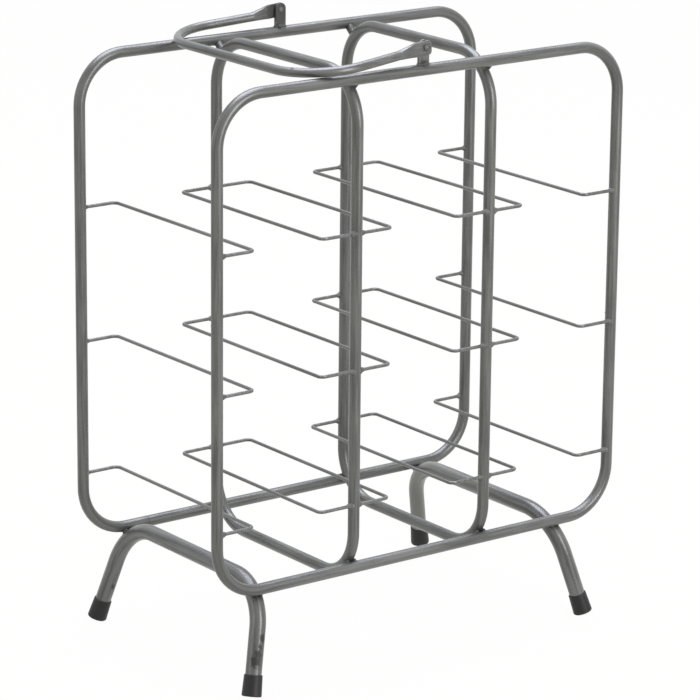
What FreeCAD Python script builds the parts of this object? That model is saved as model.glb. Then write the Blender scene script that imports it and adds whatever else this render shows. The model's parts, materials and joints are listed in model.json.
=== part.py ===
import FreeCAD, Part
import math
import os

# Folding-handle bottle rack of welded steel tube. Units are millimetres.
# X runs across the three bottle columns, Y from the front loop to the back loop, Z up.
# The origin is on the floor, midway between the two big loops.

# ---- big loops: one in front, one at the back ----
LOOP_WIDTH = 424.0        # between the centre lines of a loop's two uprights
LOOP_HEIGHT = 425.0       # between the centre lines of its bottom and top bars
LOOP_SPACING = 205.0      # between the centre planes of the front and back loops
BEND_R = 43.0             # corner radius of every loop, on the centre line
TUBE_D = 10.0
TUBE_WALL = 1.0

# ---- dividers: two loops that run front to back and split the rack into columns ----
COLUMNS = 3
DIVIDER_RISE = 3.0        # centre line of a divider's top bar above that of the big loops
WELD_D = 7.0              # bead that bridges a divider's top corner and a big loop

# ---- support wires: a U on every upright pair, at three levels ----
WIRE_D = 3.0
WIRE_REACH = 36.5         # long side of the U from the centre line of its uprights
WIRE_OUTSET = 1.2         # ends of the U outside the centre planes of the uprights
WIRE_BEND_R = 5.0
LEVELS = ["low", "middle", "high"]
FIRST_LEVEL = 56.0        # above the centre line of the bottom bars
LEVEL_PITCH = 119.0

# ---- legs: two bent tubes under the loops, splayed outward ----
LEG_D = 14.0
LEG_WALL = 1.2
LEG_BEND_R = 45.0
LEG_CONTACT = 43.0        # degrees round the bend where it meets the bottom bar
LEG_SPLAY = 11.5          # degrees, feet outward to the front and back
LEG_TILT = 14.5           # degrees, feet outward to the left and right
LEG_STRAIGHT = 57.3       # from the end of the bend to the underside of the cap
LEG_INSET = {"left": 46.5, "right": 60.0}    # top of a leg in from the uprights beside it

# ---- rubber foot caps ----
CAP_LENGTH = 18.5
CAP_BASE = 3.0            # rubber below the end of the tube
CAP_TOP_D = 15.8
CAP_BASE_D = 17.1
CAP_EDGE_R = 1.2
CAP_LIP = 0.4             # chamfer round the mouth
CAP_FLAT = 1.1            # depth worn off the lowest edge, so that the cap stands flat

# ---- carrying handle, its two brackets and its two rivets ----
PIVOT_X = -3.0
PIVOT_RISE = 19.5         # pivot above the centre line of the top bars
BRACKET_WIDTH = 10.6
BRACKET_THICK = 2.6
BRACKET_TOP = 6.1         # top of the bracket above the pivot
HANDLE_D = 8.0
HANDLE_WALL = 1.0
HANDLE_REACH = 125.0      # pivot axis to the centre line of the grip
HANDLE_FLARE = 12.0       # how far each arm spreads outward on its way to the grip
HANDLE_BEND_R = 48.0
ARM_DROP = 1.8            # centre line of the arms below the pivot, with the handle level
PADDLE_HEIGHT = 12.0      # flattened end of each arm
PADDLE_RISE = 1.2         # middle of the flattened end above the centre line of its arm
PADDLE_THICK = 2.4
PADDLE_END = 5.5          # past the pivot
PADDLE_CORNER_R = 3.0
PADDLE_LENGTH = 11.0      # flat part, measured back from the pivot
PADDLE_BLEND = 17.0       # from the flat part to the round tube
RIVET_D = 3.5
RIVET_HEAD_D = 5.8
RIVET_HEAD_H = 1.2
RUNNING_GAP = 0.3         # between the handle and the pieces that it passes or rests on
RIVET_GAP = 0.06          # round the rivet, in the handle's hole
STEEPEST_FOLD = 30.0      # degrees below level, beyond which the handle isn't tried
FOLD_STEP = 0.0001        # degrees to which the resting fold is worked out

# ---- places that follow from the sizes ----
tube_r = TUBE_D / 2
leg_r = LEG_D / 2
handle_r = HANDLE_D / 2
upright_x = LOOP_WIDTH / 2
plane_y = LOOP_SPACING / 2
column_width = LOOP_WIDTH / COLUMNS
tilt = math.radians(LEG_TILT)
splay = math.radians(LEG_SPLAY)
contact = math.radians(LEG_CONTACT)

# A leg's bend and a bottom bar touch where the normal of the bend, seen along the bar,
# passes through the centre of the bar.
normal_y = math.cos(tilt) * math.sin(contact)
normal_z = math.cos(contact)
normal_length = math.hypot(normal_y, normal_z)
reach = (tube_r + leg_r) / normal_length
leg_half_top = plane_y - normal_y * reach - LEG_BEND_R * math.sin(contact)
leg_top_rise = math.cos(tilt) * LEG_BEND_R * (1 - math.cos(contact)) - normal_z * reach

# End of a leg, in the plane of the leg: distance out from the middle and down from the top.
bend_sweep = math.pi / 2 - splay
leg_end_out = (leg_half_top + LEG_BEND_R * math.sin(bend_sweep)
               + LEG_STRAIGHT * math.cos(bend_sweep))
leg_end_down = (LEG_BEND_R * (1 - math.cos(bend_sweep))
                + LEG_STRAIGHT * math.sin(bend_sweep))
leg_lean = math.acos(math.cos(tilt) * math.cos(splay))

# Height of the bottom bars' centre line above the floor.
base_z = (math.cos(tilt) * leg_end_down - leg_top_rise
          + CAP_BASE_D / 2 * math.sin(leg_lean) - CAP_FLAT)
top_z = base_z + LOOP_HEIGHT

# The dividers' lower bends rest in the bottom bars; their uprights share the loops' planes.
divider_drop = BEND_R - math.sqrt((BEND_R + TUBE_D) ** 2 - BEND_R ** 2)
divider_low_z = base_z - divider_drop
divider_high_z = top_z + DIVIDER_RISE
divider_x = [column_width * (n - COLUMNS / 2) for n in range(1, COLUMNS)]
leg_x = {"left": LEG_INSET["left"] - upright_x, "right": upright_x - LEG_INSET["right"]}

pivot_z = top_z + PIVOT_RISE
paddle_y = plane_y + BRACKET_THICK / 2 + RUNNING_GAP + PADDLE_THICK / 2
paddle_root_x = PIVOT_X - PADDLE_LENGTH
arm_root_x = paddle_root_x - PADDLE_BLEND
grip_x = PIVOT_X - HANDLE_REACH


def vec(x, y, z):
    return FreeCAD.Vector(x, y, z)


def rounded_path(points, radius, closed=False):
    """Wire of straight runs through the points, with tangent arcs at the corners."""
    count = len(points)
    corners = range(count) if closed else range(1, count - 1)
    starts = {}
    ends = {}
    arcs = {}
    for n in corners:
        corner = points[n]
        back = (points[n - 1] - corner).normalize()
        ahead = (points[(n + 1) % count] - corner).normalize()
        half_angle = back.getAngle(ahead) / 2
        trim = radius / math.tan(half_angle)
        inward = (back + ahead).normalize()
        to_arc = radius / math.sin(half_angle) - radius
        starts[n] = corner + back * trim
        ends[n] = corner + ahead * trim
        arcs[n] = Part.Arc(starts[n], corner + inward * to_arc, ends[n]).toShape()
    edges = []
    for n in range(count if closed else count - 1):
        after = (n + 1) % count
        run_start = ends.get(n, points[n])
        run_end = starts.get(after, points[after])
        edges.append(Part.LineSegment(run_start, run_end).toShape())
        if after in arcs:
            edges.append(arcs[after])
    return Part.Wire(edges)


def sweep(path, start, direction, diameter):
    """Round bar of one diameter along a path that starts at a point."""
    section = Part.Wire(Part.makeCircle(diameter / 2, start, direction))
    return path.makePipeShell([section], True, False)


def tube(path, start, direction, diameter, wall):
    outer = sweep(path, start, direction, diameter)
    inner = sweep(path, start, direction, diameter - 2 * wall)
    return outer.cut(inner)


def loop_solids(corner_points, diameter):
    """Closed round bar through four corners; the section stands midway along the first run."""
    path = rounded_path(corner_points, BEND_R, closed=True)
    first = path.Edges[0]
    middle = first.valueAt((first.FirstParameter + first.LastParameter) / 2)
    direction = corner_points[1] - corner_points[0]
    split = [Part.LineSegment(middle, first.Vertexes[1].Point).toShape()]
    split += path.Edges[1:]
    split += [Part.LineSegment(first.Vertexes[0].Point, middle).toShape()]
    return sweep(Part.Wire(split), middle, direction, diameter)


def loop_corners_xz(y):
    return [vec(-upright_x, y, base_z), vec(upright_x, y, base_z),
            vec(upright_x, y, top_z), vec(-upright_x, y, top_z)]


def loop_corners_yz(x):
    return [vec(x, -plane_y, divider_low_z), vec(x, plane_y, divider_low_z),
            vec(x, plane_y, divider_high_z), vec(x, -plane_y, divider_high_z)]


def closed_loop(corners):
    outer = loop_solids(corners, TUBE_D)
    inner = loop_solids(corners, TUBE_D - 2 * TUBE_WALL)
    return outer.cut(inner)


def straight_bar(start, end, diameter):
    return Part.makeCylinder(diameter / 2, (end - start).Length, start, end - start)


def divider(x):
    """Divider loop with a weld bead from each top bend to the top bar beside it."""
    corners = loop_corners_yz(x)
    outer = loop_solids(corners, TUBE_D)
    for side in (-1, 1):
        bar_centre = vec(x, side * plane_y, top_z)
        bend_centre = vec(x, side * (plane_y - BEND_R), divider_high_z - BEND_R)
        outward = (bar_centre - bend_centre).normalize()
        bead = straight_bar(bend_centre + outward * BEND_R, bar_centre, WELD_D)
        bar = straight_bar(bar_centre - vec(TUBE_D, 0, 0), bar_centre + vec(TUBE_D, 0, 0), TUBE_D)
        outer = outer.fuse(bead.cut(bar))
    return outer.removeSplitter().cut(loop_solids(corners, TUBE_D - 2 * TUBE_WALL))


def support_wire(x, side, z):
    """U of wire whose ends butt against the side of a front and a back upright."""
    half = plane_y + WIRE_OUTSET
    far = x + side * WIRE_REACH
    points = [vec(x, -half, z), vec(far, -half, z), vec(far, half, z), vec(x, half, z)]
    path = rounded_path(points, WIRE_BEND_R)
    wire = sweep(path, points[0], points[1] - points[0], WIRE_D)
    for end in (-1, 1):
        foot = vec(x, end * plane_y, z - WIRE_D)
        wire = wire.cut(straight_bar(foot, foot + vec(0, 0, 2 * WIRE_D), TUBE_D))
    return wire


def leg_point(name, out, down):
    """Point in the tilted plane of a leg, from its distance out along Y and down."""
    outward = math.copysign(1, leg_x[name])
    return vec(leg_x[name] + outward * math.sin(tilt) * down, out,
               base_z + leg_top_rise - math.cos(tilt) * down)


def leg_corner_out():
    """Distance out where the top run and the leg's straight end would meet."""
    return leg_half_top + LEG_BEND_R * math.tan(bend_sweep / 2)


def leg_axis_end(name, end, short=0.0):
    """Point on a leg's straight end, a distance short of the underside of its cap."""
    return leg_point(name, end * (leg_end_out - short * math.sin(splay)),
                     leg_end_down - short * math.cos(splay))


def leg(name):
    ends = [leg_axis_end(name, end, CAP_BASE) for end in (-1, 1)]
    points = [ends[0], leg_point(name, -leg_corner_out(), 0),
              leg_point(name, leg_corner_out(), 0), ends[1]]
    path = rounded_path(points, LEG_BEND_R)
    return tube(path, points[0], points[1] - points[0], LEG_D, LEG_WALL)


def foot_cap(name, end):
    """Tapered rubber cap pushed over the end of a leg, with a worn flat on the floor."""
    tip = leg_axis_end(name, end)
    upward = (leg_axis_end(name, end, CAP_LENGTH) - tip).normalize()
    base_r = CAP_BASE_D / 2
    top_r = CAP_TOP_D / 2
    profile = [vec(0, 0, 0), vec(base_r - CAP_EDGE_R, 0, 0), vec(base_r, 0, CAP_EDGE_R),
               vec(top_r, 0, CAP_LENGTH - CAP_LIP), vec(top_r - CAP_LIP, 0, CAP_LENGTH),
               vec(leg_r, 0, CAP_LENGTH), vec(leg_r, 0, CAP_BASE), vec(0, 0, CAP_BASE)]
    edges = [Part.LineSegment(profile[0], profile[1]).toShape()]
    round_mid = vec(base_r - CAP_EDGE_R * (1 - math.sin(math.pi / 4)), 0,
                    CAP_EDGE_R * (1 - math.cos(math.pi / 4)))
    edges.append(Part.Arc(profile[1], round_mid, profile[2]).toShape())
    for n in range(2, len(profile)):
        edges.append(Part.LineSegment(profile[n], profile[(n + 1) % len(profile)]).toShape())
    cap = Part.Face(Part.Wire(edges)).revolve(vec(0, 0, 0), vec(0, 0, 1), 360)
    cap.Placement = FreeCAD.Placement(tip, FreeCAD.Rotation(vec(0, 0, 1), upward))
    below = Part.makeBox(4 * CAP_BASE_D, 4 * CAP_BASE_D, CAP_BASE_D)
    below.translate(vec(tip.x - 2 * CAP_BASE_D, tip.y - 2 * CAP_BASE_D, -CAP_BASE_D))
    return cap.cut(below)


def bracket(end):
    """Upright plate with a round top, saddled on a top bar."""
    half = BRACKET_WIDTH / 2
    top = pivot_z + BRACKET_TOP
    left = PIVOT_X - half
    right = PIVOT_X + half
    y = end * plane_y - BRACKET_THICK / 2
    edges = [Part.LineSegment(vec(left, y, top_z), vec(right, y, top_z)).toShape(),
             Part.LineSegment(vec(right, y, top_z), vec(right, y, top - half)).toShape(),
             Part.Arc(vec(right, y, top - half), vec(PIVOT_X, y, top),
                      vec(left, y, top - half)).toShape(),
             Part.LineSegment(vec(left, y, top - half), vec(left, y, top_z)).toShape()]
    plate = Part.Face(Part.Wire(edges)).extrude(vec(0, BRACKET_THICK, 0))
    bar = straight_bar(vec(left - 1, end * plane_y, top_z), vec(right + 1, end * plane_y, top_z),
                       TUBE_D)
    hole = straight_bar(vec(PIVOT_X, y - 1, pivot_z), vec(PIVOT_X, y + BRACKET_THICK + 1, pivot_z),
                        RIVET_D)
    return plate.cut(bar).cut(hole)


def rivet(end):
    """Shank through the bracket and the flattened arm, with a domed head on both sides."""
    inner = end * (plane_y - BRACKET_THICK / 2)
    outer = end * (paddle_y + PADDLE_THICK / 2 + RUNNING_GAP)
    shank = straight_bar(vec(PIVOT_X, inner, pivot_z), vec(PIVOT_X, outer, pivot_z), RIVET_D)
    dome_r = ((RIVET_HEAD_D / 2) ** 2 + RIVET_HEAD_H ** 2) / (2 * RIVET_HEAD_H)
    result = shank
    for face, way in ((inner, -end), (outer, end)):
        centre = vec(PIVOT_X, face + way * (RIVET_HEAD_H - dome_r), pivot_z)
        ball = Part.makeSphere(dome_r, centre)
        disc = straight_bar(vec(PIVOT_X, face, pivot_z),
                            vec(PIVOT_X, face + way * 2 * RIVET_HEAD_H, pivot_z),
                            RIVET_HEAD_D + 1)
        result = result.fuse(ball.common(disc))
    return result.removeSplitter()


def handle_path():
    """Centre line of the bail, level and pointing along -X, from one arm's root to the other."""
    z = pivot_z - ARM_DROP
    far_y = paddle_y + HANDLE_FLARE
    points = [vec(arm_root_x, -paddle_y, z), vec(grip_x, -far_y, z),
              vec(grip_x, far_y, z), vec(arm_root_x, paddle_y, z)]
    return rounded_path(points, HANDLE_BEND_R), points


def fold_angle(side):
    """Degrees below level at which the handle rests on the top bars, to one side."""
    path, _ = handle_path()
    pivot = vec(PIVOT_X, 0, pivot_z)
    if side > 0:
        path.rotate(pivot, vec(0, 1, 0), 180)
    bar = Part.LineSegment(vec(-LOOP_WIDTH, plane_y, top_z), vec(LOOP_WIDTH, plane_y, top_z))
    bar = bar.toShape()
    rest_distance = handle_r + tube_r + RUNNING_GAP
    low = 0.0
    high = STEEPEST_FOLD
    while high - low > FOLD_STEP:
        middle = (low + high) / 2
        trial = path.copy()
        trial.rotate(pivot, vec(0, 1, 0), side * middle)
        if trial.distToShape(bar)[0] > rest_distance:
            low = middle
        else:
            high = middle
    return low


def circle_section(centre, direction, radius):
    """Circle in four arcs that meet on the diagonals, to match a rectangle's corners."""
    across = vec(0, 0, 1).cross(direction).normalize()
    up = direction.cross(across).normalize()

    def at(degrees):
        turn = math.radians(degrees)
        return centre + across * (radius * math.cos(turn)) + up * (radius * math.sin(turn))

    return Part.Wire([Part.Arc(at(start), at(start + 45), at(start + 90)).toShape()
                      for start in (45, 135, 225, 315)])


def paddle(end, arm_direction):
    """Flattened end of an arm, its hole, and the blend into the round tube."""
    y = end * paddle_y
    arm_z = pivot_z - ARM_DROP
    z = arm_z + PADDLE_RISE
    half = PADDLE_HEIGHT / 2
    low = z - half
    high = z + half
    tip_x = PIVOT_X + PADDLE_END
    inset = PADDLE_CORNER_R
    bow = PADDLE_CORNER_R * (1 - math.sqrt(0.5))
    base_y = y - PADDLE_THICK / 2

    def at(x, height):
        return vec(x, base_y, height)

    edges = [Part.LineSegment(at(paddle_root_x, low), at(tip_x - inset, low)).toShape(),
             Part.Arc(at(tip_x - inset, low), at(tip_x - bow, low + bow),
                      at(tip_x, low + inset)).toShape(),
             Part.LineSegment(at(tip_x, low + inset), at(tip_x, high - inset)).toShape(),
             Part.Arc(at(tip_x, high - inset), at(tip_x - bow, high - bow),
                      at(tip_x - inset, high)).toShape(),
             Part.LineSegment(at(tip_x - inset, high), at(paddle_root_x, high)).toShape(),
             Part.LineSegment(at(paddle_root_x, high), at(paddle_root_x, low)).toShape()]
    plate = Part.Face(Part.Wire(edges)).extrude(vec(0, PADDLE_THICK, 0))
    hole = straight_bar(vec(PIVOT_X, base_y - 1, pivot_z),
                        vec(PIVOT_X, base_y + PADDLE_THICK + 1, pivot_z),
                        RIVET_D + 2 * RIVET_GAP)
    side = math.copysign(1, vec(0, 0, 1).cross(arm_direction).y)
    across = vec(0, side * PADDLE_THICK / 2, 0)
    up = vec(0, 0, half)
    root = vec(paddle_root_x, y, z)
    corners = [root + across + up, root - across + up, root - across - up, root + across - up]
    rectangle = Part.makePolygon(corners + corners[:1])
    circle = circle_section(vec(arm_root_x, y, arm_z), arm_direction, handle_r)
    blend = Part.makeLoft([rectangle, circle], True, False)
    return plate.cut(hole), blend


def handle():
    path, points = handle_path()
    bail = tube(path, points[0], points[1] - points[0], HANDLE_D, HANDLE_WALL)
    for end, root, after in ((-1, points[0], points[1]), (1, points[3], points[2])):
        plate, blend = paddle(end, (after - root).normalize())
        bail = bail.fuse([plate, blend])
    bail = bail.removeSplitter()
    bail.rotate(vec(PIVOT_X, 0, pivot_z), vec(0, 1, 0), -fold_angle(-1))
    return bail


def single_solid(shape):
    """The one solid that a shape holds."""
    if len(shape.Solids) != 1:
        raise ValueError("expected one solid, found %d" % len(shape.Solids))
    return shape.Solids[0]


parts = {
    "front_loop": closed_loop(loop_corners_xz(-plane_y)),
    "back_loop": closed_loop(loop_corners_xz(plane_y)),
    "carry_handle": handle(),
}

divider_names = ["divider_left", "divider_right"]
for name, x in zip(divider_names, divider_x):
    parts[name] = divider(x)

# Every column has a wire on its left and one on its right, at each level.
column_names = ["left", "middle", "right"]
column_edges = [-upright_x] + divider_x + [upright_x]
for n, column in enumerate(column_names):
    for side_name, x, side in (("left", column_edges[n], 1), ("right", column_edges[n + 1], -1)):
        for step, level in enumerate(LEVELS):
            z = base_z + FIRST_LEVEL + step * LEVEL_PITCH
            name = "wire_%s_column_%s_%s" % (column, side_name, level)
            parts[name] = support_wire(x, side, z)

for end_name, end in (("front", -1), ("back", 1)):
    parts["handle_bracket_" + end_name] = bracket(end)
    parts["handle_rivet_" + end_name] = rivet(end)
    for name in leg_x:
        parts["foot_cap_%s_%s" % (end_name, name)] = foot_cap(name, end)
for name in leg_x:
    parts["leg_" + name] = leg(name)

os.makedirs("parts", exist_ok=True)
box = FreeCAD.BoundBox()
for name, shape in sorted(parts.items()):
    solid = single_solid(shape)
    solid.exportStep("parts/%s.step" % name)
    box.add(solid.optimalBoundingBox())
    print("%-32s valid %s volume %9.1f" % (name, solid.isValid(), solid.Volume))
print("nodes", len(parts), "size", round(box.XLength, 2), round(box.YLength, 2), round(box.ZLength, 2))
print("centre", round(box.Center.x, 3), round(box.Center.y, 3), "lowest", round(box.ZMin, 3))
print("bottom bars", round(base_z, 3), "top bars", round(top_z, 3), "pivot", round(pivot_z, 3))
print("handle folds", round(fold_angle(-1), 3), "and", round(fold_angle(1), 3), "degrees below level")
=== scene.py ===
import itertools
import json
import math
import random

import bpy
import bmesh
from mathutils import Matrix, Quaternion, Vector, noise
from mathutils.bvhtree import BVHTree


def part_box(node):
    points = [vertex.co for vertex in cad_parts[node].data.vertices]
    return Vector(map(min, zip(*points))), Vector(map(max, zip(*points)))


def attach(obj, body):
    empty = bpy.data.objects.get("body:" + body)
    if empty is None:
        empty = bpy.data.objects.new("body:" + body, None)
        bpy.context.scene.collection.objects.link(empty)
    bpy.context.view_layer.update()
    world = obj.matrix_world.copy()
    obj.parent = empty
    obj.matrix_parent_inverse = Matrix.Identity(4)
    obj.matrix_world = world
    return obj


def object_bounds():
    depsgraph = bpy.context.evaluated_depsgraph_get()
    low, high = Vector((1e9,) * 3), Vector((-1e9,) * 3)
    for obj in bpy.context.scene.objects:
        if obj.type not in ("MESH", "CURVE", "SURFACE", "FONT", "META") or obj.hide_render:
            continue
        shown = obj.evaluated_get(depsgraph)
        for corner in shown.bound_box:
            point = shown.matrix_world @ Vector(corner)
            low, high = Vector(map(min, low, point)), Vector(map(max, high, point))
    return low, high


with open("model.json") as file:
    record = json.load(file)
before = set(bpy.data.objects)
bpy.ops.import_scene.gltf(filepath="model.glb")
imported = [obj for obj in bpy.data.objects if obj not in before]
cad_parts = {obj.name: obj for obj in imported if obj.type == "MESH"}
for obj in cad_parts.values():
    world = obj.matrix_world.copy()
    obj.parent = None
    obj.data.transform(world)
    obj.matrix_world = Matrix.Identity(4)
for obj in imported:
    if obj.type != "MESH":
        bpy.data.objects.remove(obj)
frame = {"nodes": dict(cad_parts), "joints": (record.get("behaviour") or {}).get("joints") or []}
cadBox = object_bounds()
nodes = frame["nodes"]
print("rack loaded:", len(nodes), "parts")

mm = 0.001


def middleOf(name):
    low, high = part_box(name)
    return (low + high) / 2


# Centre lines of the tubes and wires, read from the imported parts.
loopLow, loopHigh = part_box("front_loop")
tubeRadius = (loopHigh.y - loopLow.y) / 2
planeY = abs(middleOf("front_loop").y)
bottomBarZ = loopLow.z + tubeRadius
topBarZ = loopHigh.z - tubeRadius
uprightX = loopHigh.x - tubeRadius
dividerX = middleOf("divider_right").x
legMiddleX = (middleOf("leg_left").x + middleOf("leg_right").x) / 2
wireLow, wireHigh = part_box("wire_left_column_left_low")
wireRadius = (wireHigh.z - wireLow.z) / 2
wireY = wireHigh.y - wireRadius
bracketBase = topBarZ + tubeRadius
pivot = Vector(frame["joints"][0]["pos_m"])

# What the boxes of the parts don't tell.
bendRadius = 43 * mm         # of the loops and dividers
legRadius = 7 * mm
legShoulder = 161.8 * mm     # where a leg touches the bottom bars, out from legMiddleX
handleRadius = 4 * mm
handleBend = 48 * mm


class Value:
    def __init__(self, finish, socket):
        self.finish = finish
        self.socket = socket

    def math(self, operation, first, second=0.0):
        return self.finish.node("ShaderNodeMath", {"operation": operation}, {0: first, 1: second})

    def __add__(self, other):
        return self.math("ADD", self, other)

    def __radd__(self, other):
        return self.math("ADD", other, self)

    def __sub__(self, other):
        return self.math("SUBTRACT", self, other)

    def __rsub__(self, other):
        return self.math("SUBTRACT", other, self)

    def __mul__(self, other):
        return self.math("MULTIPLY", self, other)

    def __rmul__(self, other):
        return self.math("MULTIPLY", other, self)

    def __abs__(self):
        return self.math("ABSOLUTE", self)


class Finish:
    def __init__(self, tree):
        self.tree = tree
        tree.nodes.clear()

    # Any node: its settings go in first, then the values or links of its sockets.
    def node(self, kind, settings, sockets, output=0):
        made = self.tree.nodes.new(kind)
        for key, setting in settings.items():
            setattr(made, key, setting)
        for key, given in sockets.items():
            socket = socketNamed(made.inputs, key)
            if isinstance(given, Value):
                self.tree.links.new(given.socket, socket)
            else:
                socket.default_value = given
        return Value(self, socketNamed(made.outputs, output)) if made.outputs else None

    def place(self):
        return self.node("ShaderNodeTexCoord", {}, {}, "Object")

    def split(self, vector):
        return [self.node("ShaderNodeSeparateXYZ", {}, {0: vector}, axis) for axis in "XYZ"]

    def join(self, x, y, z):
        return self.node("ShaderNodeCombineXYZ", {}, {0: x, 1: y, 2: z})

    # Noise from 0 to 1, with clouds about that many metres across.
    def clouds(self, place, size, detail=3.0, rough=0.55):
        sockets = {"Vector": place, "Scale": 1 / size, "Detail": detail, "Roughness": rough}
        return self.node("ShaderNodeTexNoise", {}, sockets, "Fac")

    def ease(self, value, low, high, first=0.0, last=1.0):
        settings = {"interpolation_type": "SMOOTHSTEP"}
        sockets = {"Value": value, "From Min": low, "From Max": high, "To Min": first, "To Max": last}
        return self.node("ShaderNodeMapRange", settings, sockets, "Result")

    def distance(self, place, point):
        settings = {"operation": "DISTANCE"}
        return self.node("ShaderNodeVectorMath", settings, {0: place, 1: point}, "Value")

    def stretch(self, place, factors):
        return self.node("ShaderNodeVectorMath", {"operation": "MULTIPLY"}, {0: place, 1: factors})

    def larger(self, *values):
        top = values[0]
        for value in values[1:]:
            top = top.math("MAXIMUM", top, value)
        return top

    def between(self, amount, first, second):
        sockets = {"Factor_Float": amount, "A_Float": first, "B_Float": second}
        return self.node("ShaderNodeMix", {}, sockets, "Result_Float")

    def colour(self, amount, first, second):
        sockets = {"Factor_Float": amount, "A_Color": first, "B_Color": second}
        return self.node("ShaderNodeMix", {"data_type": "RGBA"}, sockets, "Result_Color")

    def bump(self, height, distance, under=None):
        sockets = {"Height": height, "Distance": distance}
        if under is not None:
            sockets["Normal"] = under
        return self.node("ShaderNodeBump", {}, sockets, "Normal")

    def surface(self, sockets):
        shader = self.node("ShaderNodeBsdfPrincipled", {}, sockets, "BSDF")
        self.node("ShaderNodeOutputMaterial", {}, {"Surface": shader})


def socketNamed(sockets, key):
    if isinstance(key, int):
        return sockets[key]
    return next(socket for socket in sockets if key in (socket.identifier, socket.name))


def newMaterial(name):
    material = bpy.data.materials.new(name)
    material.use_nodes = True
    return material, Finish(material.node_tree)


# A warm grey has less blue by its whole warmth, and a little more red and green.
warmRed = 0.1
warmGreen = 0.15


def grey(level, warmth=0.0):
    red = level * (1 + warmth * warmRed)
    green = level * (1 + warmth * warmGreen)
    return (red, green, level * (1 - warmth), 1)


paint = {
    "base": grey(0.060, 0.055),
    "thin": grey(0.120, 0.04),       # where the coat is lighter
    "toneClouds": 0.2,               # what makes the coat thin: clouds, streaks and grain
    "toneStreaks": 0.65,
    "toneGrain": 0.15,
    "toneRange": (0.36, 0.64),
    "roughness": 0.3,
    "cloudRoughness": 0.06,          # added by each of these
    "streakRoughness": 0.08,
    "darkMarksAndShadeRoughness": 0.2,
    "flakes": 0.28,                  # how metallic the coat is
    "gloss": 0.4,                    # clear part of the coat over the flakes
    "glossRoughness": 0.26,
    "cloudSize": 60 * mm,
    "grainSize": 0.8 * mm,
    "peelSize": 2.2 * mm,            # orange peel in the sprayed coat
    "peelDepth": 0.01 * mm,
    "streakSize": 2.4 * mm,          # across the tube
    "streakRun": 20,                 # a streak is this many times as long as wide
    "streakDepth": 0.08 * mm,
    "dentSize": 26 * mm,             # slight unevenness of the drawn tube
    "dentDepth": 0.12 * mm,
    "darkMarksAndShade": grey(0.011, 0.08),       # scorched patches beside the welds, with painted shade in the crevices there
    "darkMarksAndShadeCover": 0.75,                   # how fully the weld soot, the painted crevice shade and the other dark marks cover the coat
    "smutAndShadeReach": 8 * mm,
    "smutAndShadeCore": 0.35,                # share of the reach that is dark evenly
    "smutAndShadeShake": 6 * mm,             # how ragged its edge is, and how large the rags
    "smutAndShadeShakeSize": 4 * mm,
    "smutAndShadeInward": 3 * mm,            # from the plane of a loop
    "smutAndShadeBeside": 5 * mm,            # from the middle of a bar
}


# How near a place is to a weld, 0 to 1: weld soot, and painted shade in the crevices where tubes
# meet. The rack is the same front and back, and its dividers and legs nearly so left and right, so
# one distance to a folded place serves two or four welds.
def weldSmutAndShade(finish, place, look):
    sockets = {"Vector": place, "Scale": 1 / look["smutAndShadeShakeSize"]}
    wobble = finish.node("ShaderNodeTexNoise", {}, sockets, "Color")
    shake = look["smutAndShadeShake"]
    sockets = {0: wobble, 1: (shake, shake, shake), 2: place}
    shaken = finish.node("ShaderNodeVectorMath", {"operation": "MULTIPLY_ADD"}, sockets)
    x, y, z = finish.split(shaken)
    x = x - shake / 2
    y = abs(y - shake / 2)
    z = z - shake / 2
    dividerPlace = finish.join(abs(x), y, z)
    legPlace = finish.join(abs(x - legMiddleX), y, z)
    bracketPlace = finish.join(x, y, z)
    weldY = planeY - look["smutAndShadeInward"]
    beside = look["smutAndShadeBeside"]
    spots = [
        (dividerPlace, (dividerX, weldY, topBarZ - beside)),
        (dividerPlace, (dividerX, weldY, bottomBarZ + beside)),
        (legPlace, (legShoulder, weldY, bottomBarZ - beside)),
        (bracketPlace, (pivot.x, planeY, bracketBase)),
    ]
    reach = look["smutAndShadeReach"]
    core = reach * look["smutAndShadeCore"]
    return finish.larger(*[finish.ease(finish.distance(*spot), reach, core) for spot in spots])


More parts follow.
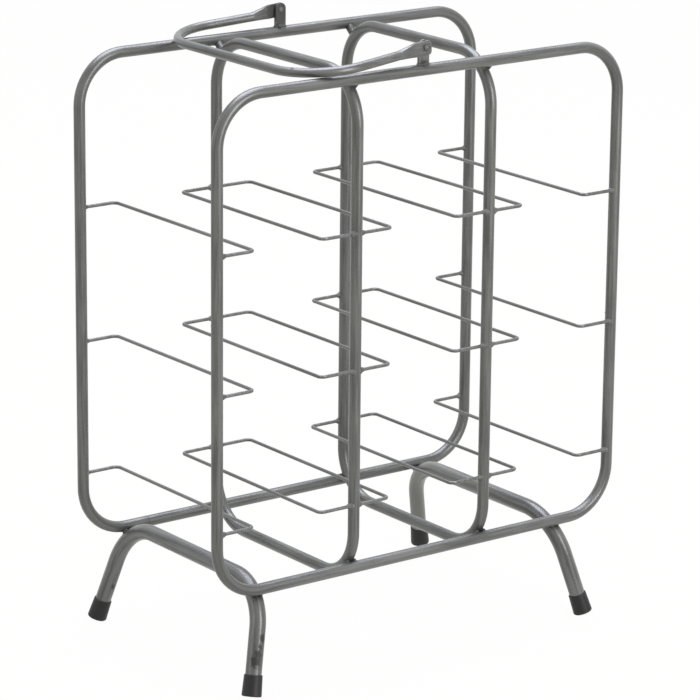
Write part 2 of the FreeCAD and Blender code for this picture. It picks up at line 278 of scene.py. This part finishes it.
# A sprayed coat. Its streaks run along the tube: flow gives a place measured along, across and
# aside of the tube, and the first of the three is shortened. Marks add dark patches to the weld
# soot and painted crevice shade, and the last argument gives where the coat is painted paler, as
# painted light, and made smoother.
def sprayedCoat(name, look, flow, marks=None, paintedLightAmount=None):
    material, finish = newMaterial(name)
    place = finish.place()
    x, y, z = finish.split(place)
    along, across, aside = flow(finish, x, y, z)
    onTube = finish.join(along * (1 / look["streakRun"]), across, aside)
    streaks = finish.clouds(onTube, look["streakSize"], 2.0)
    cloud = finish.clouds(place, look["cloudSize"])
    grain = finish.clouds(place, look["grainSize"], 2.0)
    darkMarksAndShade = weldSmutAndShade(finish, place, look)
    if marks:
        darkMarksAndShade = finish.larger(darkMarksAndShade, marks(finish, place, x, y, z))
    tone = cloud * look["toneClouds"] + streaks * look["toneStreaks"] + grain * look["toneGrain"]
    coat = finish.colour(finish.ease(tone, *look["toneRange"]), look["base"], look["thin"])
    combing = streaks
    if paintedLightAmount:
        # Painted light: the coat is painted paler towards the back of the right leg.
        paintedLight = paintedLightAmount(finish, x, y)
        coat = finish.colour(paintedLight * look["paintedLightAmount"], coat, look["paintedLight"])
        combing = streaks * (1 - paintedLight * look["smoother"])
    # Weld soot and dark marks, with painted shade in the crevices beside the welds.
    coat = finish.colour(darkMarksAndShade * look["darkMarksAndShadeCover"], coat, look["darkMarksAndShade"])
    dents = finish.bump(finish.clouds(place, look["dentSize"], 1.0), look["dentDepth"])
    combed = finish.bump(combing, look["streakDepth"], dents)
    skin = finish.bump(finish.clouds(place, look["peelSize"], 2.0), look["peelDepth"], combed)
    uneven = cloud * look["cloudRoughness"] + streaks * look["streakRoughness"]
    finish.surface({
        "Base Color": coat,
        "Roughness": look["roughness"] + uneven + darkMarksAndShade * look["darkMarksAndShadeRoughness"],
        "Metallic": look["flakes"] - darkMarksAndShade * look["flakes"],
        "Coat Weight": look["gloss"] - darkMarksAndShade * look["gloss"],
        "Coat Roughness": look["glossRoughness"],
        "Normal": skin,
    })
    return material


# How far out from the centre of a bend, or from the straight run that goes on from it.
def outOfBend(finish, first, second):
    first = first.math("MAXIMUM", first, 0.0)
    second = second.math("MAXIMUM", second, 0.0)
    return finish.node("ShaderNodeMath", {"operation": "SQRT"}, {0: first * first + second * second})


def loopFlow(finish, x, y, z):
    middle = (topBarZ + bottomBarZ) / 2
    wide = abs(x) - (uprightX - bendRadius)
    tall = abs(z - middle) - (topBarZ - middle - bendRadius)
    return x + z, outOfBend(finish, wide, tall), y


def dividerFlow(finish, x, y, z):
    low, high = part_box("divider_left")
    middle = (low.z + high.z) / 2
    deep = abs(y) - (planeY - bendRadius)
    tall = abs(z - middle) - (high.z - tubeRadius - middle - bendRadius)
    return y + z, outOfBend(finish, deep, tall), x


def handleFlow(finish, x, y, z):
    low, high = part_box("carry_handle")
    deep = abs(y) - (high.y - handleRadius - handleBend)
    out = (low.x + handleRadius + handleBend) - x
    return x + y, outOfBend(finish, deep, out), z


legBend = {
    "radius": 45 * mm,
    "start": 63.8 * mm,              # end of the top run, from the middle of the rack
    "tilt": math.radians(14.5),      # legs lean outward to the sides
    "splay": math.radians(11.5),     # and to the front and back
    "change": 4 * mm,                # half of where the bend's streaks turn into the straight's
}


def legFlow(finish, x, y, z):
    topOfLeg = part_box("leg_left")[1].z
    centreZ = topOfLeg - legRadius - legBend["radius"] * math.cos(legBend["tilt"])
    deep = abs(y) - legBend["start"]
    rise = (z - centreZ) * (1 / math.cos(legBend["tilt"]))
    bent = outOfBend(finish, deep, rise)
    straight = deep * math.cos(legBend["splay"]) + rise * math.sin(legBend["splay"])
    below = finish.ease(rise, legBend["change"], -legBend["change"])
    aside = abs(x - legMiddleX) + z * math.tan(legBend["tilt"])
    return abs(y) - z, finish.between(below, bent, straight), aside


def plateFlow(finish, x, y, z):
    return z, x, y


def wireFlow(finish, x, y, z):
    return y, x, z


scrapes = {     # dark scraped patches near the feet: middle and radius
    "frontLow": ((-184.2 * mm, -119.1 * mm, 32.2 * mm), 4.6 * mm),
    "frontMiddle": ((-181.2 * mm, -118.6 * mm, 37.6 * mm), 3.6 * mm),
    "frontTrail": ((-178.4 * mm, -117.2 * mm, 42.5 * mm), 2.2 * mm),
    "frontHigh": ((-175.0 * mm, -116.0 * mm, 49.6 * mm), 3.0 * mm),
    "backSpot": ((-179.9 * mm, 106.7 * mm, 33.3 * mm), 2.2 * mm),
}
scrapeLook = {
    "squash": 0.65,          # height is squashed by this, so a patch is drawn out along the leg
    "tatterSquash": 0.6,
    "tatterSize": 2.6 * mm,
    "tatter": 2.4,           # these three are in radii of the patch
    "faint": 2.3,
    "full": 1.75,
}


# The patches are drawn out along the leg and torn at their edges.
def scrapeMarks(finish, place, x, y, z):
    look = scrapeLook
    torn = finish.stretch(place, (1, 1, look["tatterSquash"]))
    tatter = finish.clouds(torn, look["tatterSize"], 5.0, 0.75)
    drawnOut = finish.stretch(place, (1, 1, look["squash"]))
    found = []
    for spot, radius in scrapes.values():
        middle = (spot[0], spot[1], spot[2] * look["squash"])
        near = finish.distance(drawnOut, middle) + tatter * radius * look["tatter"]
        found.append(finish.ease(near, radius * look["faint"], radius * look["full"]))
    return finish.larger(*found)


# Where light is painted on the right leg: across it, and towards the back.
paintedLightSpan = {"across": (0.0, 20 * mm), "back": (-75 * mm, 70 * mm)}


# Painted light: the coat is painted paler towards the back of the right leg. It grows smoother there
# too.
def backPaintedLight(finish, x, y):
    return finish.ease(x, *paintedLightSpan["across"]) * finish.ease(y, *paintedLightSpan["back"])


pivotLook = {
    "rubbedAndShaded": 10 * mm,
    # further at the back, where painted shade darkens the back bracket and the flattened end beside
    # it
    "backRubbedAndShaded": 19 * mm,
    "middle": (-20 * mm, 20 * mm),   # where the front's reach turns into the back's
    "tatterSize": 2.2 * mm,
    "tatter": 16 * mm,
    "edge": (4 * mm, -1 * mm),
}
gripNick = {"middle": (-124 * mm, -84 * mm, 525 * mm), "radius": 2.2 * mm, "edge": 1.4}


# Dark rubbing round the pivots, where the flattened ends work against the brackets. It reaches
# further at the back, where it is painted shade on the back bracket and on the flattened end beside
# it.
def pivotRubbingAndShade(finish, place, x, y, z):
    look = pivotLook
    tatter = finish.clouds(place, look["tatterSize"], 4.0, 0.7)
    near = finish.distance(finish.join(x, 0.0, z), (pivot.x, 0, pivot.z))
    reach = finish.ease(y, *look["middle"], look["rubbedAndShaded"], look["backRubbedAndShaded"])
    rubbedAndShaded = finish.ease(near + tatter * look["tatter"] - reach, *look["edge"])
    radius = gripNick["radius"]
    nick = finish.distance(place, gripNick["middle"]) + tatter * radius
    return finish.larger(rubbedAndShaded, finish.ease(nick, radius * gripNick["edge"], radius))


buttSeam = {
    "x": -146 * mm,
    "half": 0.7 * mm,
    "tatterSize": 2.5 * mm,
    "tatter": 1.2 * mm,
    "smudgeX": -149 * mm,
    "smudgeEdge": (11 * mm, 6 * mm),
    "smudgeTatter": 8 * mm,
    "smudge": 0.5,
    "above": (30 * mm, 20 * mm),     # the marks end between these heights above the bar
    "back": (0.0, 20 * mm),
}


# Ground butt weld that closes the back loop, in its bottom bar.
def seamMarks(finish, place, x, y, z):
    look = buttSeam
    tatter = finish.clouds(place, look["tatterSize"], 4.0, 0.7)
    offSeam = abs(x - look["x"]) + tatter * look["tatter"]
    ring = finish.ease(offSeam, look["half"] * 2, look["half"])
    near = finish.distance(place, (look["smudgeX"], planeY, bottomBarZ))
    smudge = finish.ease(near + tatter * look["smudgeTatter"], *look["smudgeEdge"])
    low = finish.ease(z - bottomBarZ, *look["above"])
    atBack = finish.ease(y, *look["back"])
    return finish.larger(ring, smudge * look["smudge"]) * low * atBack


legLook = {
    **paint,
    "base": grey(0.048, 0.05),
    "thin": grey(0.13, 0.03),
    # weld soot and scrapes, with painted shade where the legs meet the bottom bars
    "darkMarksAndShade": grey(0.007, 0.05),
    "darkMarksAndShadeCover": 0.96,
    "streakSize": 3.4 * mm,
    "streakDepth": 0.4 * mm,
    # painted light towards the back of the right leg
    "paintedLight": grey(0.17, 0.08),
    "paintedLightAmount": 0.62,
    "smoother": 0.4,
}
bracketLook = {
    **paint,
    "base": grey(0.075, 0.02),
    "thin": grey(0.135, 0.01),
    "smutAndShadeReach": 7 * mm,
    "dentSize": 5 * mm,
}
wireLook = {
    **paint,
    "base": grey(0.075, 0.05),
    "thin": grey(0.125, 0.04),
    "streakSize": 5 * mm,
    "streakDepth": 0.02 * mm,
    "grainSize": 2 * mm,
    "dentDepth": 0.03 * mm,
}
weldLook = {
    **paint,
    "base": grey(0.068, 0.04),
    "thin": grey(0.12, 0.03),
    # soot and painted crevice shade on the beads
    "darkMarksAndShade": grey(0.045, 0.05),
    "roughness": 0.5,
    "gloss": 0.1,
    "streakDepth": 0.02 * mm,
    "dentSize": 1.6 * mm,
    "dentDepth": 0.1 * mm,
}
loopPaint = sprayedCoat("loopPaint", paint, loopFlow, seamMarks)
dividerPaint = sprayedCoat("dividerPaint", paint, dividerFlow)
legPaint = sprayedCoat("legPaint", legLook, legFlow, scrapeMarks, backPaintedLight)
handlePaint = sprayedCoat("handlePaint", paint, handleFlow, pivotRubbingAndShade)
bracketPaint = sprayedCoat("bracketPaint", bracketLook, plateFlow, pivotRubbingAndShade)
wirePaint = sprayedCoat("wirePaint", wireLook, wireFlow)
weldPaint = sprayedCoat("weldPaint", weldLook, plateFlow)

steel = {
    "bare": (0.30, 0.30, 0.31, 1),
    "painted": grey(0.085, 0.02),
    "ring": grey(0.02),
    "ringShade": 0.8,
    "ringEdge": (2.0 * mm, 2.8 * mm),    # out from the middle of a head; painted shade round its edge
    "wornEdge": (2.5 * mm, 1.5 * mm),    # where the paint is rubbed off the middle of a head
    "wornTatter": 3 * mm,
    "worn": 0.6,
    "roughness": 0.46,
    "grainRoughness": 0.15,
    "grainSize": 0.7 * mm,
    "grainDepth": 0.04 * mm,
    "metal": 0.1,
    "wornMetal": 0.9,                    # added where it is worn
}


def rivetSteel(look):
    material, finish = newMaterial("wornRivetSteel")
    place = finish.place()
    x, y, z = finish.split(place)
    out = finish.distance(finish.join(x, 0.0, z), (pivot.x, 0, pivot.z))
    grain = finish.clouds(place, look["grainSize"])
    worn = finish.ease(out + grain * look["wornTatter"], *look["wornEdge"]) * look["worn"]
    # Painted shade round the edge of each head.
    rimShade = finish.ease(out, *look["ringEdge"])
    coat = finish.colour(rimShade * look["ringShade"], look["painted"], look["ring"])
    finish.surface({
        "Base Color": finish.colour(worn, coat, look["bare"]),
        "Roughness": look["roughness"] + grain * look["grainRoughness"],
        "Metallic": worn * look["wornMetal"] + look["metal"],
        "Normal": finish.bump(grain, look["grainDepth"]),
    })
    return material


rubber = {
    "base": grey(0.009, 0.02),
    "dust": grey(0.045, 0.05),
    "dusty": 0.6,
    "dustEdge": (9 * mm, 3 * mm),    # above the floor
    "dustTatter": 9 * mm,
    "shine": 0.33,
    "roughness": 0.44,
    "scuffRoughness": 0.16,          # added by scuffs and dust, taken off by ribs
    "dustRoughness": 0.1,
    "ribRoughness": 0.1,
    "scuffSize": 5 * mm,
    "grainSize": 0.6 * mm,
    "grainDepth": 0.03 * mm,
    "ribSize": 1.8 * mm,             # faint lines left by pulling the cap on
    "ribRun": 20,
    "ribDepth": 0.1 * mm,
}


def blackRubber(look):
    material, finish = newMaterial("blackRubber")
    place = finish.place()
    x, y, z = finish.split(place)
    grain = finish.clouds(place, look["grainSize"], 4.0)
    scuffs = finish.clouds(place, look["scuffSize"], 4.0, 0.7)
    along, across, aside = legFlow(finish, x, y, z)
    onLeg = finish.join(along * (1 / look["ribRun"]), across, aside)
    ribs = finish.clouds(onLeg, look["ribSize"], 2.0)
    dust = finish.ease(z + scuffs * look["dustTatter"], *look["dustEdge"])
    rough = look["roughness"] + scuffs * look["scuffRoughness"] + dust * look["dustRoughness"]
    ribbed = finish.bump(ribs, look["ribDepth"])
    finish.surface({
        "Base Color": finish.colour(dust * look["dusty"], look["base"], look["dust"]),
        "Roughness": rough - ribs * look["ribRoughness"],
        "Specular IOR Level": look["shine"],
        "Normal": finish.bump(grain, look["grainDepth"], ribbed),
    })
    return material


# What the names of the parts start with, and their finishes.
finishOf = {
    "front_loop": loopPaint,
    "back_loop": loopPaint,
    "divider": dividerPaint,
    "leg": legPaint,
    "carry_handle": handlePaint,
    "handle_bracket": bracketPaint,
    "handle_rivet": rivetSteel(steel),
    "foot_cap": blackRubber(rubber),
    "wire": wirePaint,
}
for name, node in nodes.items():
    chosen = [finish for start, finish in finishOf.items() if name.startswith(start)]
    node.data.materials.clear()
    node.data.materials.append(chosen[0])
    node.data.shade_smooth()
print("finishes on")


seedStep = Vector((7.3, 3.1, 5.7))


def lump(point, size, seed):
    return noise.noise(point / size + seedStep * seed)


def addPiece(name, mesh, body="frame"):
    bmesh.ops.recalc_face_normals(mesh, faces=mesh.faces)
    data = bpy.data.meshes.new(name)
    mesh.to_mesh(data)
    mesh.free()
    data.shade_smooth()
    data.materials.append(weldPaint)
    piece = bpy.data.objects.new(name, data)
    bpy.context.collection.objects.link(piece)
    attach(piece, body)


def joinRings(mesh, rings):
    for ring, after in zip(rings, rings[1:]):
        for n in range(len(ring)):
            mesh.faces.new((ring[n - 1], ring[n], after[n], after[n - 1]))


# Welds at the ends of the support wires: each swells from the wire into a nugget on its upright.
wireWeld = {
    "reach": 4.0 * mm,       # along the wire
    "spread": 1.35 * mm,     # past the wire, at the upright
    "heavy": (0.75, 1.25),   # lightest and heaviest, as a share of the spread
    "steady": 0.7,           # share of the reach that is the same for light and heavy ones
    "hang": 0.3,             # how much more below the wire than above it
    "outward": 0.7,          # how much more on the outer side, where the torch was
    "lumps": 0.34,
    "lumpSize": 1.9 * mm,
    "lumpRadius": 2 * mm,
    "flare": 1.7,
    "inset": 0.06 * mm,      # how far under the wire's skin it starts
    "sink": 0.7 * mm,
    "widest": 0.92,          # share of the upright's radius that a nugget stays within
    "rings": 10,
    "sides": 22,
}


def addWireWeld(mesh, look, way, upright, wireMiddle, seed):
    rings = []
    heavy = random.uniform(*look["heavy"])
    torch = math.copysign(1, upright.y)
    reach = look["reach"] * (look["steady"] + (1 - look["steady"]) * heavy)
    widest = tubeRadius * look["widest"]
    lumpRadius = look["lumpRadius"]
    for n in range(look["rings"]):
        share = n / (look["rings"] - 1)
        rise = reach * math.cos(share * math.pi / 2)
        ring = []
        for k in range(look["sides"]):
            turn = 2 * math.pi * k / look["sides"]
            across, up = math.cos(turn), math.sin(turn)
            wide = 1 + look["hang"] * max(0, -up) + look["outward"] * max(0, across * torch)
            spot = Vector((share * look["reach"], across * lumpRadius, up * lumpRadius))
            bulge = 1 + look["lumps"] * lump(spot, look["lumpSize"], seed)
            swell = look["spread"] * heavy * wide * bulge * share ** look["flare"]
            radius = wireRadius - look["inset"] + swell
            aside = max(-widest, min(widest, wireMiddle.y + radius * across - upright.y))
            surface = math.sqrt(tubeRadius ** 2 - aside ** 2)
            x = upright.x + way * (surface - look["sink"] + rise)
            ring.append(mesh.verts.new((x, upright.y + aside, wireMiddle.z + radius * up)))
        rings.append(ring)
    joinRings(mesh, rings)


random.seed(4)
welds = bmesh.new()
wireNames = sorted(name for name in nodes if name.startswith("wire_"))
uprights = (-uprightX, -dividerX, dividerX, uprightX)
wireFeet = []
for number, name in enumerate(wireNames):
    low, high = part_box(name)
    way = 1 if "column_left" in name else -1
    root = low.x if way > 0 else high.x
    nearest = min(uprights, key=lambda x: abs(x - root))
    for side in (-1, 1):
        upright = Vector((nearest, side * planeY, 0))
        wireMiddle = Vector((root, side * wireY, middleOf(name).z))
        addWireWeld(welds, wireWeld, way, upright, wireMiddle, 2 * number + side + 3)
        wireFeet.append((upright, way, wireMiddle.z))
addPiece("wireWelds", welds)
print("wire welds made:", len(wireFeet))


# Spatter: small beads thrown on to the uprights round the wire welds.
spatter = {
    "each": 3,
    "size": (0.22 * mm, 0.55 * mm),
    "round": 1.0,            # radians round the upright, mostly and at most
    "roundMost": 1.3,
    "thrown": 4.5 * mm,      # up or down, mostly
    "lumps": 0.3,
    "lumpSize": 0.5 * mm,
}
drops = bmesh.new()
for upright, way, z in wireFeet:
    for n in range(spatter["each"]):
        size = random.uniform(*spatter["size"])
        turn = random.gauss(0, spatter["round"])
        turn = max(-spatter["roundMost"], min(spatter["roundMost"], turn))
        outward = Vector((way * math.cos(turn), math.sin(turn), 0))
        up = random.gauss(0, 1) * spatter["thrown"]
        spot = Vector((upright.x, upright.y, z + up)) + outward * tubeRadius
        made = bmesh.ops.create_icosphere(drops, subdivisions=2, radius=size)
        for vertex in made["verts"]:
            bulge = 1 + spatter["lumps"] * lump(vertex.co + spot, spatter["lumpSize"], 1)
            vertex.co = spot + vertex.co * bulge
addPiece("weldSpatter", drops)
print("spatter made")


# Runs of weld: a lumpy string between two points, thin at both ends.
runLook = {
    "sides": 14,
    "points": 16,
    "ripple": 0.16,
    "lumps": 0.4,
    "lumpSize": 1.8 * mm,
    "wander": 0.4 * mm,      # how far the string strays from a straight line
    "wanderSize": 3 * mm,
    "wanderSeed": 9,
    "blunt": 2.5,            # the higher, the shorter the thin ends
    "tip": 0.02,
}
runSeeds = itertools.count(50)


def addRun(mesh, start, end, out, weld):
    look = runLook
    seed = next(runSeeds)
    rings = []
    ahead = (end - start).normalized()
    side = ahead.cross(out).normalized()
    face = side.cross(ahead)
    for n in range(look["points"]):
        share = n / (look["points"] - 1)
        point = start.lerp(end, share)
        stray = look["wander"] * lump(point, look["wanderSize"], seed + look["wanderSeed"])
        point = point + (side + face) * stray
        taper = math.sqrt(max(look["tip"], 1 - abs(2 * share - 1) ** look["blunt"]))
        wave = abs(math.sin(math.pi * weld["ripples"] * share))
        radius = weld["radius"] * taper * (1 + look["ripple"] * (wave - 0.5))
        ring = []
        for k in range(look["sides"]):
            turn = 2 * math.pi * k / look["sides"]
            spoke = side * math.cos(turn) + face * math.sin(turn)
            bulge = 1 + look["lumps"] * lump(point + spoke * weld["radius"], look["lumpSize"], seed)
            ring.append(mesh.verts.new(point + spoke * radius * bulge))
        rings.append(ring)
    joinRings(mesh, rings)
    mesh.faces.new(rings[0])
    mesh.faces.new(rings[-1])


# Two short runs, one on each side of where a tube touches a bar.
def addRunPair(mesh, touch, out, weld):
    half = Vector((1, 0, 0)).cross(out).normalized() * weld["length"] / 2
    for way in (-1, 1):
        middle = touch + Vector((way * weld["aside"], 0, 0)) - out * weld["sink"]
        addRun(mesh, middle - half, middle + half, out, weld)


def treeOf(name):
    data = nodes[name].data
    return BVHTree.FromPolygons([v.co for v in data.vertices], [p.vertices for p in data.polygons])


# Point where two parts come nearest to each other, on the front or back side of the rack.
def contact(first, second, side, kept=8):
    tree = treeOf(second)
    found = []
    for vertex in nodes[first].data.vertices:
        if vertex.co.y * side > 0:
            point, _, _, apart = tree.find_nearest(vertex.co)
            found.append((apart, (vertex.co + point) / 2))
    found.sort(key=lambda item: item[0])
    nearest = [point for _, point in found[:kept]]
    return sum(nearest, Vector()) / len(nearest)


loopOn = {-1: "front_loop", 1: "back_loop"}
dividerNames = ("divider_left", "divider_right")

legWeld = {
    "radius": 1.7 * mm,
    "aside": 3.0 * mm,
    "length": 7.5 * mm,
    "sink": 0.2 * mm,
    "ripples": 4,
}
welds = bmesh.new()
for legName in ("leg_left", "leg_right"):
    for side in (-1, 1):
        touch = contact(legName, loopOn[side], side)
        barMiddle = Vector((touch.x, side * planeY, bottomBarZ))
        addRunPair(welds, touch, (barMiddle - touch).normalized(), legWeld)
addPiece("legWelds", welds)

footWeld = {
    "radius": 2.2 * mm,
    "aside": 3.6 * mm,
    "length": 7.5 * mm,
    "sink": 0.0,
    "ripples": 4,
}
welds = bmesh.new()
for dividerName in dividerNames:
    for side in (-1, 1):
        barMiddle = Vector((middleOf(dividerName).x, side * planeY, bottomBarZ))
        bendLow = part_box(dividerName)[0].z + tubeRadius + bendRadius
        bendMiddle = Vector((barMiddle.x, side * (planeY - bendRadius), bendLow))
        out = (bendMiddle - barMiddle).normalized()
        addRunPair(welds, barMiddle + out * tubeRadius, out, footWeld)
addPiece("dividerFootWelds", welds)

topWeld = {
    "radius": 0.8 * mm,
    "aside": 2.9 * mm,
    "low": (7 * mm, 6.4 * mm),       # inward from the middle of the bar, and below it
    "high": (3.2 * mm, 3.4 * mm),
    "ripples": 3,
}
welds = bmesh.new()
for dividerName in dividerNames:
    for side in (-1, 1):
        for way in (-1, 1):
            x = middleOf(dividerName).x + way * topWeld["aside"]
            low, high = [
                Vector((x, side * (planeY - inward), topBarZ - below))
                for inward, below in (topWeld["low"], topWeld["high"])]
            addRun(welds, low, high, Vector((way, 0, 0)), topWeld)
addPiece("dividerTopWelds", welds)

bracketWeld = {"radius": 1.7 * mm, "overhang": 0.8 * mm, "ripples": 4}
nugget = {      # a heavier lump beside the back bracket
    "radius": 1.9 * mm,
    "start": -7.6 * mm,
    "end": -3.2 * mm,
    "inFront": 0.9 * mm,
    "above": 0.6 * mm,
    "ripples": 2,
}
upward = Vector((0, 0, 1))
welds = bmesh.new()
for side, bracketName in ((-1, "handle_bracket_front"), (1, "handle_bracket_back")):
    low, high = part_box(bracketName)
    for faceY in (low.y, high.y):
        z = topBarZ + math.sqrt(tubeRadius ** 2 - (faceY - side * planeY) ** 2)
        start = Vector((low.x - bracketWeld["overhang"], faceY, z))
        end = Vector((high.x + bracketWeld["overhang"], faceY, z))
        addRun(welds, start, end, upward, bracketWeld)
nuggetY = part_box("handle_bracket_back")[0].y - nugget["inFront"]
nuggetZ = bracketBase + nugget["above"]
start = Vector((nugget["start"], nuggetY, nuggetZ))
end = Vector((nugget["end"], nuggetY, nuggetZ))
addRun(welds, start, end, upward, nugget)
addPiece("bracketWelds", welds)
print("tube and bracket welds made")


# Floor, light and camera.
studio = {
    "floor": (0.50, 0.50, 0.41, 1),
    "floorRadius": 14,
    "floorWhite": 0.965,     # share of plain white that the camera sees on the floor
    "fill": 0.62,
}
softboxes = {
    "overheadSoftbox": {
        "place": (0.5, 0.68, 4.2),
        "width": 3.6,
        "height": 3.6,
        "power": 328.0,
        "colour": (0.83, 0.87, 1.0),
    },
    "leftSoftbox": {
        "place": (-2.2, 0.3, 0.9),
        "width": 0.8,
        "height": 1.6,
        "power": 3.0,
        "colour": (1, 1, 1),
    },
    "rightSoftbox": {
        "place": (0.4, -2.2, 0.9),
        "width": 0.8,
        "height": 1.6,
        "power": 32.0,
        "colour": (1, 1, 1),
    },
}


# 1 for rays that should see a plain white background, 0 for the light that falls on the rack.
def whiteRays(finish):
    kinds = ("Is Camera Ray", "Is Glossy Ray", "Is Transmission Ray")
    return finish.larger(*[finish.node("ShaderNodeLightPath", {}, {}, kind) for kind in kinds])


floorMaterial, finish = newMaterial("paleFloor")
matt = finish.node("ShaderNodeBsdfDiffuse", {}, {"Color": studio["floor"]}, "BSDF")
white = finish.node("ShaderNodeEmission", {}, {"Strength": 1.0}, "Emission")
sockets = {0: whiteRays(finish) * studio["floorWhite"], 1: matt, 2: white}
mixed = finish.node("ShaderNodeMixShader", {}, sockets, "Shader")
finish.node("ShaderNodeOutputMaterial", {}, {"Surface": mixed})

floorMesh = bmesh.new()
bmesh.ops.create_circle(floorMesh, cap_ends=True, segments=96, radius=studio["floorRadius"])
floorData = bpy.data.meshes.new("floor")
floorMesh.to_mesh(floorData)
floorMesh.free()
floorData.materials.append(floorMaterial)
floor = bpy.data.objects.new("floor", floorData)
bpy.context.collection.objects.link(floor)

world = bpy.data.worlds.new("studio")
bpy.context.scene.world = world
world.use_nodes = True
finish = Finish(world.node_tree)
strength = finish.between(whiteRays(finish), studio["fill"], 1.0)
sockets = {"Color": (1, 1, 1, 1), "Strength": strength}
backdrop = finish.node("ShaderNodeBackground", {}, sockets, "Background")
finish.node("ShaderNodeOutputWorld", {}, {"Surface": backdrop})

rackMiddle = (cadBox[0] + cadBox[1]) / 2
for name, softbox in softboxes.items():
    lamp = bpy.data.lights.new(name, "AREA")
    lamp.shape = "RECTANGLE"
    lamp.size = softbox["width"]
    lamp.size_y = softbox["height"]
    lamp.energy = softbox["power"]
    lamp.color = softbox["colour"]
    light = bpy.data.objects.new(name, lamp)
    light.location = softbox["place"]
    towards = rackMiddle - Vector(softbox["place"])
    light.rotation_euler = towards.to_track_quat("-Z", "Y").to_euler()
    bpy.context.collection.objects.link(light)

view = {
    "aim": Vector((0, -0.0007, 0.2461)),
    "round": math.radians(36.85),    # left of straight on
    "above": math.radians(15.712),
    "away": 3.1963,
    "roll": math.radians(0.572),
    "lens": 187.64,
    "filmWidth": 36,
    "furthest": 60,
}
lensData = bpy.data.cameras.new("camera")
lensData.lens = view["lens"]
lensData.sensor_width = view["filmWidth"]
lensData.clip_end = view["furthest"]
camera = bpy.data.objects.new("camera", lensData)
level = math.cos(view["above"])
backX = -math.sin(view["round"]) * level
backY = -math.cos(view["round"]) * level
back = Vector((backX, backY, math.sin(view["above"])))
camera.location = view["aim"] + back * view["away"]
camera.rotation_mode = "QUATERNION"
camera.rotation_quaternion = (-back).to_track_quat("-Z", "Y") @ Quaternion((0, 0, 1), view["roll"])
bpy.context.collection.objects.link(camera)
bpy.context.scene.camera = camera
bpy.context.scene.view_settings.view_transform = "Standard"
print("studio and camera set")
